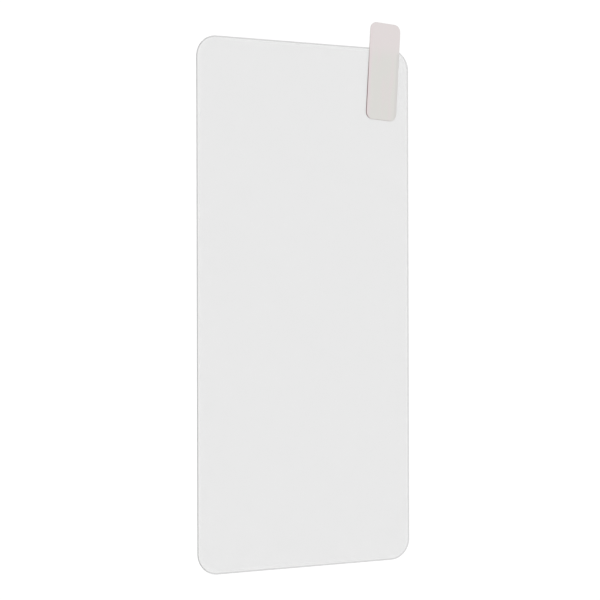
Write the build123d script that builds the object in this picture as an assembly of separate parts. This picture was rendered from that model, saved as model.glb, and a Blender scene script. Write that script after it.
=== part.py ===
from build123d import *
import os

# A phone screen protector as it is sold: a sheet of tempered glass with its adhesive
# film, the release liner over the film, and the pull tab stuck on the liner.
# It lies on its front face, the one that a finger touches in use, with the liner up.
# Millimetres. X runs across the sheet, Y along it, and Z up.
# The origin is the middle of the glass's front face.

# Tempered glass
GLASS_LENGTH = 158.0
GLASS_WIDTH = 71.5
GLASS_THICKNESS = 0.33
GLASS_CORNER_RADIUS = 6.3
FRONT_EDGE_WIDTH = 0.4  # how far in from the rim the rounded front edge starts
RIM_LAND = 0.08  # upright strip left between the rounded front edge and the back arris
BACK_ARRIS = 0.05  # ground off the back edge at 45 degrees

# Adhesive film and release liner, cut together inside the glass's outline
FILM_MARGIN = 0.8  # bare glass left round the films
ADHESIVE_THICKNESS = 0.15
LINER_THICKNESS = 0.1

# Pull tab, lying on the liner at one end of the sheet
TAB_LENGTH = 30.0
TAB_WIDTH = 10.6
TAB_THICKNESS = 0.25
TAB_CORNER_RADIUS = 2.2
TAB_OVERHANG = 7.8  # from the glass's end to the middle of the tab's free end
TAB_TO_LONG_EDGE = 9.1  # from the glass's long edge to the middle of the tab
TAB_LEAN_DEGREES = 3.5  # the free end leans towards that long edge

# Heights of the faces on which the pieces lie
ADHESIVE_BASE = GLASS_THICKNESS
LINER_BASE = ADHESIVE_BASE + ADHESIVE_THICKNESS
TAB_BASE = LINER_BASE + LINER_THICKNESS

# The rounded front edge climbs from the front face to the rim land
FRONT_EDGE_RISE = GLASS_THICKNESS - RIM_LAND - BACK_ARRIS
WASTE_REACH = FRONT_EDGE_RISE  # how far the ground-off waste reaches past the glass


def front_edge_waste(outline):
    """The ring ground off the glass's front edge, with an arc that runs smoothly into the front face."""
    edge_start = outline @ 0
    along = outline % 0
    outward = along.cross(Vector(0, 0, 1))
    arc = TangentArc((-FRONT_EDGE_WIDTH, 0), (0, FRONT_EDGE_RISE), tangent=(1, 0))
    rest = Polyline(
        arc @ 1,
        (WASTE_REACH, FRONT_EDGE_RISE),
        (WASTE_REACH, -WASTE_REACH),
        (-FRONT_EDGE_WIDTH, -WASTE_REACH),
        arc @ 0,
    )
    section = make_face([*arc.edges(), *rest.edges()])
    return sweep(Plane(edge_start, x_dir=outward, z_dir=-along) * section, path=outline)


def tempered_glass():
    """A flat sheet, rounded along its front edge and with its back edge's arris ground off."""
    outline = RectangleRounded(GLASS_WIDTH, GLASS_LENGTH, GLASS_CORNER_RADIUS)
    sheet = extrude(outline, GLASS_THICKNESS)
    back_edges = sheet.faces().sort_by(Axis.Z)[-1].edges()
    sheet = chamfer(back_edges, BACK_ARRIS)
    return sheet - front_edge_waste(outline.face().outer_wire())


def film_layer(base, thickness):
    """A film cut to the glass's outline less the margin, lying at the given height."""
    outline = RectangleRounded(
        GLASS_WIDTH - 2 * FILM_MARGIN,
        GLASS_LENGTH - 2 * FILM_MARGIN,
        GLASS_CORNER_RADIUS - FILM_MARGIN,
    )
    return Pos(0, 0, base) * extrude(outline, thickness)


def pull_tab():
    """A die-cut strip with rounded corners, leaning a little, its free end out past the sheet."""
    strip = extrude(RectangleRounded(TAB_WIDTH, TAB_LENGTH, TAB_CORNER_RADIUS), TAB_THICKNESS)
    across = GLASS_WIDTH / 2 - TAB_TO_LONG_EDGE
    along = GLASS_LENGTH / 2 + TAB_OVERHANG - TAB_LENGTH / 2
    return Pos(across, along, TAB_BASE) * Rot(0, 0, -TAB_LEAN_DEGREES) * strip


nodes = {
    "tempered_glass": tempered_glass(),
    "adhesive_film": film_layer(ADHESIVE_BASE, ADHESIVE_THICKNESS),
    "release_liner": film_layer(LINER_BASE, LINER_THICKNESS),
    "pull_tab": pull_tab(),
}

os.makedirs("parts", exist_ok=True)
for name, solid in nodes.items():
    export_step(solid, f"parts/{name}.step")
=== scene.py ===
import math
from collections import namedtuple

import bmesh
import bpy
from mathutils import Matrix, Vector


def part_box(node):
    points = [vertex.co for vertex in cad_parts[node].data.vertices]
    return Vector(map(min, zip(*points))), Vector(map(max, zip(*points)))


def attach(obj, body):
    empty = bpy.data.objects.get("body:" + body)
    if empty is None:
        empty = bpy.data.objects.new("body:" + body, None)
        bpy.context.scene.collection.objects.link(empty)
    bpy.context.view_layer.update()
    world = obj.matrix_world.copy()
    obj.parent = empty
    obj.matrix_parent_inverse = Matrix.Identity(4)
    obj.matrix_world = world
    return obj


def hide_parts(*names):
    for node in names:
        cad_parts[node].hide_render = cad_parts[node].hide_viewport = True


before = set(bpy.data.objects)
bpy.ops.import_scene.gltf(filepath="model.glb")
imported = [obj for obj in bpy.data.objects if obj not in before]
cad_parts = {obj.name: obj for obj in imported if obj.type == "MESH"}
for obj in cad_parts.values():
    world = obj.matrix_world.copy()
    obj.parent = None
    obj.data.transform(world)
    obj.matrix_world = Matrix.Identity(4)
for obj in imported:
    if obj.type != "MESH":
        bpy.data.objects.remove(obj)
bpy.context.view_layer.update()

# A phone screen protector lying on its glass face, liner up. Metres, in the frame's axes:
# X across the sheet, Y along it, Z up.
MM = 0.001

# Sizes that the nodes' boxes don't give
GLASS_CORNER_RADIUS = 6.3 * MM
FRONT_EDGE_WIDTH = 0.4 * MM
RIM_LAND = 0.08 * MM
BACK_ARRIS = 0.05 * MM
FILM_CORNER_RADIUS = 5.5 * MM
TAB_LENGTH = 30.0 * MM
TAB_WIDTH = 10.6 * MM
TAB_CORNER_RADIUS = 2.2 * MM
TAB_LEAN = math.radians(3.5)
TAB_EDGE_ROUNDING = 0.12 * MM
LAYER_GAP = 0.004 * MM  # taken off the faces that meet, so that no two faces coincide

# Mesh steps
CORNER_STEPS = 24
EDGE_STEPS = 8
ROUNDING_STEPS = 4

# A plate's section is a list of these, from its underside to its top. Sharp says whether the row is
# a sharp edge, and material is that of the strip that starts there.
SectionRow = namedtuple("SectionRow", "inset height sharp material")
FACE_MATERIAL = 0
EDGE_MATERIAL = 1

# Clear materials. Clearness is the light let through, shadow is the light left in its shadow, and
# roughness is the range over its smudges. Scales are in waves a metre.
POLISHED_GLASS = dict(clearness=0.829, ior=1.52, shadow=0.95, roughness=(0.0, 0.03), smudge_scale=60)
GROUND_GLASS = dict(clearness=0.57, ior=1.25, shadow=0.8, roughness=(0.2, 0.28), smudge_scale=3000)
ADHESIVE = dict(clearness=0.99, ior=1.05, shadow=0.99, roughness=(0.0, 0.05), smudge_scale=80)
LINER = dict(clearness=0.99, ior=1.5, shadow=0.99, roughness=(0.01, 0.06), smudge_scale=40, wavy=True)
CUT_FILM = dict(clearness=0.98, ior=1.02, shadow=0.99, roughness=(0.1, 0.3), smudge_scale=900)
SMUDGE_DETAIL = 4
SMUDGE_LEVELS = (0.35, 0.7)
WAVE_SCALE = 25
WAVE_DETAIL = 1
WAVE_HEIGHT = 0.04 * MM

# Colours of the tab
FILM_COLOUR = (0.716, 0.706, 0.676, 1)
PINK_COLOUR = (0.758, 0.682, 0.690, 1)
FREE_END_COLOUR = (0.767, 0.706, 0.707, 1)
# Painted shade: the darker band beside the tab's other long edge, where it lies on the sheet
SHADE_BAND_COLOUR = (0.672, 0.656, 0.640, 1)
CUT_COLOUR = (0.70, 0.67, 0.65, 1)
# Painted shade: the dark reddish-brown line on the tab's cut edge along one long side, where it lies on the
# sheet
EDGE_SHADE_COLOUR = (0.21, 0.11, 0.11, 1)

# Places of the tab's tints, in millimetres from its middle: across it to a long edge, or along it with
# the free end on the plus side. A fade is where a tint's change starts and ends.
TAB_EDGE = TAB_WIDTH / MM / 2
FREE_END_FADE = (3, 9)
FREE_END_AMOUNT = 0.85
PINK_EDGE_FADE = (-TAB_EDGE + 0.5, -TAB_EDGE + 1.4)
PINK_EDGE_AMOUNT = 0.85
# The painted shade band beside the other long edge, only where the tab lies on the sheet
SHADE_BAND_FADE = (TAB_EDGE - 1.0, TAB_EDGE - 0.8)
SHADE_BAND_AMOUNT = 0.8
SHADE_BAND_END_FADE = (5, 7)
# Where the painted shade on the cut edge lies: strongest at one long edge and at the end on the sheet
EDGE_SHADE_SIDE_FADE = (-TAB_EDGE + 0.1, -TAB_EDGE + 1.6)
EDGE_SHADE_FAR_SIDE = 0.1
EDGE_SHADE_LENGTH_FADE = (-6, 13)
EDGE_SHADE_FREE_END = 0.05

# Grain and streaks of the tab's film, with scales in waves a millimetre
GRAIN_SCALE = 6
GRAIN_DETAIL = 3
GRAIN_LEVELS = (0.3, 0.7)
GRAIN_ROUGHNESS = (0.5, 0.65)
GRAIN_HEIGHT = 0.002 * MM
STREAK_SCALE = 0.5
STREAK_DETAIL = 2
STREAK_STRETCH = (1, 0.15, 1)
STREAK_LEVELS = (0.45, 0.7)
STREAK_AMOUNT = 0.5

# A Mix node's colour sockets, by number because its other sockets have the same names
MIX_UNDER = 6
MIX_OVER = 7
MIX_RESULT = 2

# Floor and light. The floor's grey is what is seen under its glow, and its white is what it throws
# back on the part. Lamps are placed in degrees round from +X and up from the floor, and in metres.
FLOOR_DROP = 0.01 * MM
FLOOR_REACH = 20.0
FLOOR_GLOW = 0.9
FLOOR_GREY = 0.15
FLOOR_WHITE = 0.85
WORLD_STRENGTH = 0.62
KEY_LAMP = dict(azimuth=165, elevation=58, distance=1.4, size=1.2, power=8.4, mirrored=False)
FILL_LAMP = dict(azimuth=250, elevation=57, distance=1.4, size=1.2, power=2.0, mirrored=True)

# Camera, from the photograph's perspective
LENS_MM = 97.2
SENSOR_MM = 36.0
CLIP_START = 0.01
CAMERA_YAW = math.radians(-26.81)
CAMERA_PITCH = math.radians(0.09)
CAMERA_ROLL = math.radians(-0.14)
CAMERA_OFFSET = Vector((-1.895, 1.389, 488.4)) * MM
OUTLINE_HEIGHT = 0.25 * MM  # where the sheet's outline is taken to lie


def grey(level):
    """An opaque grey."""
    return (level, level, level, 1)


def node_material(name):
    """A new material with an empty node tree: the material, its nodes and the call that links sockets."""
    material = bpy.data.materials.new(name)
    material.use_nodes = True
    tree = material.node_tree
    tree.nodes.clear()
    return material, tree.nodes, tree.links.new


def noise(nodes, link, coordinates, scale, detail):
    """A noise texture over the given coordinates."""
    texture = nodes.new("ShaderNodeTexNoise")
    texture.inputs["Scale"].default_value = scale
    texture.inputs["Detail"].default_value = detail
    link(coordinates, texture.inputs["Vector"])
    return texture.outputs["Fac"]


def remap(nodes, link, value, from_range, to_range, smooth=True):
    """Maps a value from one range to another, held at the ends."""
    mapped = nodes.new("ShaderNodeMapRange")
    mapped.interpolation_type = "SMOOTHSTEP" if smooth else "LINEAR"
    mapped.inputs["From Min"].default_value, mapped.inputs["From Max"].default_value = from_range
    mapped.inputs["To Min"].default_value, mapped.inputs["To Max"].default_value = to_range
    link(value, mapped.inputs["Value"])
    return mapped.outputs["Result"]


def combine(nodes, link, operation, first, second):
    """One math operation on two sockets."""
    math_node = nodes.new("ShaderNodeMath")
    math_node.operation = operation
    link(first, math_node.inputs[0])
    link(second, math_node.inputs[1])
    return math_node.outputs["Value"]


def tint(nodes, link, under, over, amount):
    """Lays a colour over another by the given amount. What is under may be a colour or a socket."""
    mix = nodes.new("ShaderNodeMix")
    mix.data_type = "RGBA"
    if isinstance(under, tuple):
        mix.inputs[MIX_UNDER].default_value = under
    else:
        link(under, mix.inputs[MIX_UNDER])
    mix.inputs[MIX_OVER].default_value = over
    link(amount, mix.inputs["Factor"])
    return mix.outputs[MIX_RESULT]


def bump(nodes, link, height, distance):
    """A normal from a height."""
    node = nodes.new("ShaderNodeBump")
    node.inputs["Strength"].default_value = 1.0
    node.inputs["Distance"].default_value = distance
    link(height, node.inputs["Height"])
    return node.outputs["Normal"]


def see_through(name, clearness, ior, shadow, roughness, smudge_scale, wavy=False):
    """A clear sheet: refracts, is a little uneven in gloss, and lets light through to what lies under it."""
    material, nodes, link = node_material(name)
    shader = nodes.new("ShaderNodeBsdfPrincipled")
    shader.inputs["Base Color"].default_value = grey(clearness)
    shader.inputs["IOR"].default_value = ior
    shader.inputs["Transmission Weight"].default_value = 1.0
    place = nodes.new("ShaderNodeTexCoord").outputs["Object"]
    smudges = noise(nodes, link, place, smudge_scale, SMUDGE_DETAIL)
    link(remap(nodes, link, smudges, SMUDGE_LEVELS, roughness), shader.inputs["Roughness"])
    if wavy:
        waves = noise(nodes, link, place, WAVE_SCALE, WAVE_DETAIL)
        link(bump(nodes, link, waves, WAVE_HEIGHT), shader.inputs["Normal"])
    clear = nodes.new("ShaderNodeBsdfTransparent")
    clear.inputs["Color"].default_value = grey(shadow)
    mix = nodes.new("ShaderNodeMixShader")
    link(nodes.new("ShaderNodeLightPath").outputs["Is Shadow Ray"], mix.inputs["Fac"])
    link(shader.outputs["BSDF"], mix.inputs[1])
    link(clear.outputs["BSDF"], mix.inputs[2])
    link(mix.outputs["Shader"], nodes.new("ShaderNodeOutputMaterial").inputs["Surface"])
    return material


def tab_coordinates(nodes, link):
    """Millimetres from the tab's middle: the vector, the way across, and the way along to the free end."""
    low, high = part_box("pull_tab")
    turn = nodes.new("ShaderNodeMapping")
    turn.vector_type = "TEXTURE"
    turn.inputs["Location"].default_value = (low + high) / 2
    turn.inputs["Rotation"].default_value = (0, 0, -TAB_LEAN)
    turn.inputs["Scale"].default_value = (MM, MM, MM)
    link(nodes.new("ShaderNodeTexCoord").outputs["Object"], turn.inputs["Vector"])
    parts = nodes.new("ShaderNodeSeparateXYZ")
    link(turn.outputs["Vector"], parts.inputs["Vector"])
    return turn.outputs["Vector"], parts.outputs["X"], parts.outputs["Y"]


def matt_film(nodes, link, place, colour):
    """The tab's plastic film: matt, with a very fine grain."""
    shader = nodes.new("ShaderNodeBsdfPrincipled")
    grain = noise(nodes, link, place, GRAIN_SCALE, GRAIN_DETAIL)
    link(colour, shader.inputs["Base Color"])
    link(remap(nodes, link, grain, GRAIN_LEVELS, GRAIN_ROUGHNESS), shader.inputs["Roughness"])
    link(bump(nodes, link, grain, GRAIN_HEIGHT), shader.inputs["Normal"])
    link(shader.outputs["BSDF"], nodes.new("ShaderNodeOutputMaterial").inputs["Surface"])


def tab_face_material():
    """Pale film with faint streaks along it, pinker at the free end and beside one long edge, and with a
    band of painted shade beside the other long edge where it lies on the sheet."""
    material, nodes, link = node_material("tab_film")
    place, across, along = tab_coordinates(nodes, link)
    stretch = nodes.new("ShaderNodeMapping")
    stretch.inputs["Scale"].default_value = STREAK_STRETCH
    link(place, stretch.inputs["Vector"])
    streaks = noise(nodes, link, stretch.outputs["Vector"], STREAK_SCALE, STREAK_DETAIL)
    streaked = remap(nodes, link, streaks, STREAK_LEVELS, (0, STREAK_AMOUNT))
    colour = tint(nodes, link, FILM_COLOUR, PINK_COLOUR, streaked)
    free_end = remap(nodes, link, along, FREE_END_FADE, (0, FREE_END_AMOUNT))
    colour = tint(nodes, link, colour, FREE_END_COLOUR, free_end)
    pink_edge = remap(nodes, link, across, PINK_EDGE_FADE, (PINK_EDGE_AMOUNT, 0))
    colour = tint(nodes, link, colour, PINK_COLOUR, pink_edge)
    # Painted shade: a darker band beside the other long edge, where the tab lies on the sheet
    shade_band = remap(nodes, link, across, SHADE_BAND_FADE, (0, SHADE_BAND_AMOUNT))
    on_sheet = remap(nodes, link, along, SHADE_BAND_END_FADE, (1, 0))
    colour = tint(nodes, link, colour, SHADE_BAND_COLOUR, combine(nodes, link, "MULTIPLY", shade_band, on_sheet))
    matt_film(nodes, link, place, colour)
    return material


def tab_edge_material():
    """The film's cut edge, with dark reddish-brown painted shade along one long side and round its corner on
    the sheet, fading towards the free end.
    """
    material, nodes, link = node_material("tab_cut_edge")
    place, across, along = tab_coordinates(nodes, link)
    # Painted shade on the cut edge, strongest along one long side and where the tab lies on the sheet
    sideways = remap(nodes, link, across, EDGE_SHADE_SIDE_FADE, (1, EDGE_SHADE_FAR_SIDE))
    lengthways = remap(nodes, link, along, EDGE_SHADE_LENGTH_FADE, (1, EDGE_SHADE_FREE_END))
    edge_shade = combine(nodes, link, "MULTIPLY", sideways, lengthways)
    matt_film(nodes, link, place, tint(nodes, link, CUT_COLOUR, EDGE_SHADE_COLOUR, edge_shade))
    return material


def seen_ray(nodes, link):
    """1 for a ray from the camera, a reflection or a refraction, and 0 for light that falls on surfaces."""
    path = nodes.new("ShaderNodeLightPath")
    seen = combine(nodes, link, "MAXIMUM", path.outputs["Is Camera Ray"], path.outputs["Is Glossy Ray"])
    return combine(nodes, link, "MAXIMUM", seen, path.outputs["Is Transmission Ray"])


def floor_material():
    """White to the eye, and still dark where the object keeps the light off it."""
    material, nodes, link = node_material("white_floor")
    seen = seen_ray(nodes, link)
    matt = nodes.new("ShaderNodeBsdfDiffuse")
    link(remap(nodes, link, seen, (0, 1), (FLOOR_WHITE, FLOOR_GREY), False), matt.inputs["Color"])
    glow = nodes.new("ShaderNodeEmission")
    link(remap(nodes, link, seen, (0, 1), (0, FLOOR_GLOW), False), glow.inputs["Strength"])
    both = nodes.new("ShaderNodeAddShader")
    link(matt.outputs["BSDF"], both.inputs[0])
    link(glow.outputs["Emission"], both.inputs[1])
    link(both.outputs["Shader"], nodes.new("ShaderNodeOutputMaterial").inputs["Surface"])
    return material


def ring(half_width, half_length, radius, height):
    """Points of a rounded rectangle at one height, anticlockwise from the +Y end of its +X side."""
    points = []
    for quarter, (side_x, side_y) in enumerate(((1, 1), (-1, 1), (-1, -1), (1, -1))):
        for step in range(CORNER_STEPS + 1):
            angle = math.radians(90) * (quarter + step / CORNER_STEPS)
            x = side_x * (half_width - radius) + radius * math.cos(angle)
            y = side_y * (half_length - radius) + radius * math.sin(angle)
            points.append(Vector((x, y, height)))
    return points


def plate(name, width, length, corner, section, materials, place=Matrix.Identity(4)):
    """A closed plate with rounded corners, from the rows of its section."""
    mesh = bpy.data.meshes.new(name)
    shape = bmesh.new()
    loops = []
    for row in section:
        points = ring(width / 2 - row.inset, length / 2 - row.inset, corner - row.inset, row.height)
        loops.append([shape.verts.new(place @ point) for point in points])
    for row, lower, upper in zip(section, loops, loops[1:]):
        for i in range(len(lower)):
            j = (i + 1) % len(lower)
            face = shape.faces.new((lower[i], lower[j], upper[j], upper[i]))
            face.smooth = True
            face.material_index = row.material
    shape.faces.new(reversed(loops[0]))
    shape.faces.new(loops[-1])
    for row, loop in zip(section, loops):
        for i, vertex in enumerate(loop):
            edge = shape.edges.get((vertex, loop[(i + 1) % len(loop)]))
            edge.smooth = not row.sharp
    shape.to_mesh(mesh)
    shape.free()
    piece = bpy.data.objects.new(name, mesh)
    bpy.context.scene.collection.objects.link(piece)
    for material in materials:
        mesh.materials.append(material)
    return piece


def stand_for(piece, node):
    """The piece takes the node's place and rides on the part's one body."""
    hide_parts(node)
    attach(piece, "root")


def glass_sheet(polished, ground):
    """The glass, with its rounded front edge underneath, the rim land and the back arris."""
    low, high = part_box("tempered_glass")
    size = high - low
    rise = size.z - RIM_LAND - BACK_ARRIS
    radius = (FRONT_EDGE_WIDTH ** 2 + rise ** 2) / (2 * rise)
    sweep = math.asin(FRONT_EDGE_WIDTH / radius)
    section = []
    for step in range(EDGE_STEPS + 1):
        angle = sweep * step / EDGE_STEPS
        inset = FRONT_EDGE_WIDTH - radius * math.sin(angle)
        height = low.z + radius * (1 - math.cos(angle))
        section.append(SectionRow(inset, height, step == EDGE_STEPS, EDGE_MATERIAL))
    section.append(SectionRow(0, high.z - BACK_ARRIS, True, EDGE_MATERIAL))
    section.append(SectionRow(BACK_ARRIS, high.z - LAYER_GAP, True, FACE_MATERIAL))
    piece = plate("glass_sheet", size.x, size.y, GLASS_CORNER_RADIUS, section, (polished, ground))
    stand_for(piece, "tempered_glass")


def film(name, node, face, edge):
    """A film with square-cut edges, in the place of its node."""
    low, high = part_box(node)
    size = high - low
    section = [
        SectionRow(0, low.z + LAYER_GAP, True, EDGE_MATERIAL),
        SectionRow(0, high.z - LAYER_GAP, True, FACE_MATERIAL),
    ]
    piece = plate(name, size.x, size.y, FILM_CORNER_RADIUS, section, (face, edge))
    stand_for(piece, node)


def pull_tab(face, edge):
    """The die-cut tab, its upper edge pressed round by the die."""
    low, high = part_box("pull_tab")
    section = [SectionRow(0, low.z + LAYER_GAP, True, EDGE_MATERIAL)]
    for step in range(ROUNDING_STEPS + 1):
        angle = math.radians(90) * step / ROUNDING_STEPS
        inset = TAB_EDGE_ROUNDING * (1 - math.cos(angle))
        height = high.z - TAB_EDGE_ROUNDING * (1 - math.sin(angle))
        section.append(SectionRow(inset, height, False, EDGE_MATERIAL))
    middle = (low + high) / 2
    place = Matrix.Translation((middle.x, middle.y, 0)) @ Matrix.Rotation(-TAB_LEAN, 4, "Z")
    piece = plate("tab_label", TAB_WIDTH, TAB_LENGTH, TAB_CORNER_RADIUS, section, (face, edge), place)
    stand_for(piece, "pull_tab")


def add_floor():
    """A wide plain floor just under the part."""
    sides = ((-1, -1), (1, -1), (1, 1), (-1, 1))
    corners = [(x * FLOOR_REACH, y * FLOOR_REACH, -FLOOR_DROP) for x, y in sides]
    mesh = bpy.data.meshes.new("floor")
    mesh.from_pydata(corners, [], [(0, 1, 2, 3)])
    mesh.materials.append(floor_material())
    floor = bpy.data.objects.new("floor", mesh)
    bpy.context.scene.collection.objects.link(floor)


def add_world():
    """Even light from all round, white where it is seen."""
    world = bpy.data.worlds.new("studio")
    world.use_nodes = True
    nodes, link = world.node_tree.nodes, world.node_tree.links.new
    background = nodes["Background"]
    background.inputs["Color"].default_value = grey(1)
    strength = remap(nodes, link, seen_ray(nodes, link), (0, 1), (WORLD_STRENGTH, 1), False)
    link(strength, background.inputs["Strength"])
    bpy.context.scene.world = world


def add_lamp(name, azimuth, elevation, distance, size, power, mirrored):
    """A square soft lamp that looks at the part's middle. One that isn't mirrored lights the part
    without showing in the clear sheets."""
    data = bpy.data.lights.new(name, "AREA")
    data.shape = "SQUARE"
    data.size = size
    data.energy = power
    lamp = bpy.data.objects.new(name, data)
    up, round_z = math.radians(elevation), math.radians(azimuth)
    towards = Vector((math.cos(up) * math.cos(round_z), math.cos(up) * math.sin(round_z), math.sin(up)))
    lamp.location = towards * distance
    lamp.rotation_mode = "QUATERNION"
    lamp.rotation_quaternion = towards.to_track_quat("Z", "Y")
    lamp.visible_glossy = mirrored
    lamp.visible_transmission = mirrored
    bpy.context.scene.collection.objects.link(lamp)


def add_camera():
    """Looks down on the sheet from the side of one long edge, as the photograph does."""
    data = bpy.data.cameras.new("camera")
    data.lens = LENS_MM
    data.sensor_width = SENSOR_MM
    data.clip_start = CLIP_START
    camera = bpy.data.objects.new("camera", data)
    turn = Matrix.Rotation(CAMERA_YAW, 4, "Y") @ Matrix.Rotation(CAMERA_PITCH, 4, "X")
    turn = turn @ Matrix.Rotation(CAMERA_ROLL, 4, "Z")
    pivot = Matrix.Translation((0, 0, OUTLINE_HEIGHT))
    camera.matrix_world = pivot @ turn @ Matrix.Translation(CAMERA_OFFSET)
    bpy.context.scene.collection.objects.link(camera)
    bpy.context.scene.camera = camera


def main():
    """The part's four pieces, and the floor, light and camera round it."""
    bpy.context.scene.view_settings.view_transform = "Standard"
    polished = see_through("polished_glass", **POLISHED_GLASS)
    ground = see_through("ground_glass_edge", **GROUND_GLASS)
    adhesive = see_through("clear_adhesive", **ADHESIVE)
    liner = see_through("clear_liner", **LINER)
    cut_film = see_through("cut_film_edge", **CUT_FILM)
    glass_sheet(polished, ground)
    film("adhesive_layer", "adhesive_film", adhesive, cut_film)
    film("liner_sheet", "release_liner", liner, cut_film)
    pull_tab(tab_face_material(), tab_edge_material())
    add_floor()
    add_world()
    add_lamp("key", **KEY_LAMP)
    add_lamp("fill", **FILL_LAMP)
    add_camera()


main()
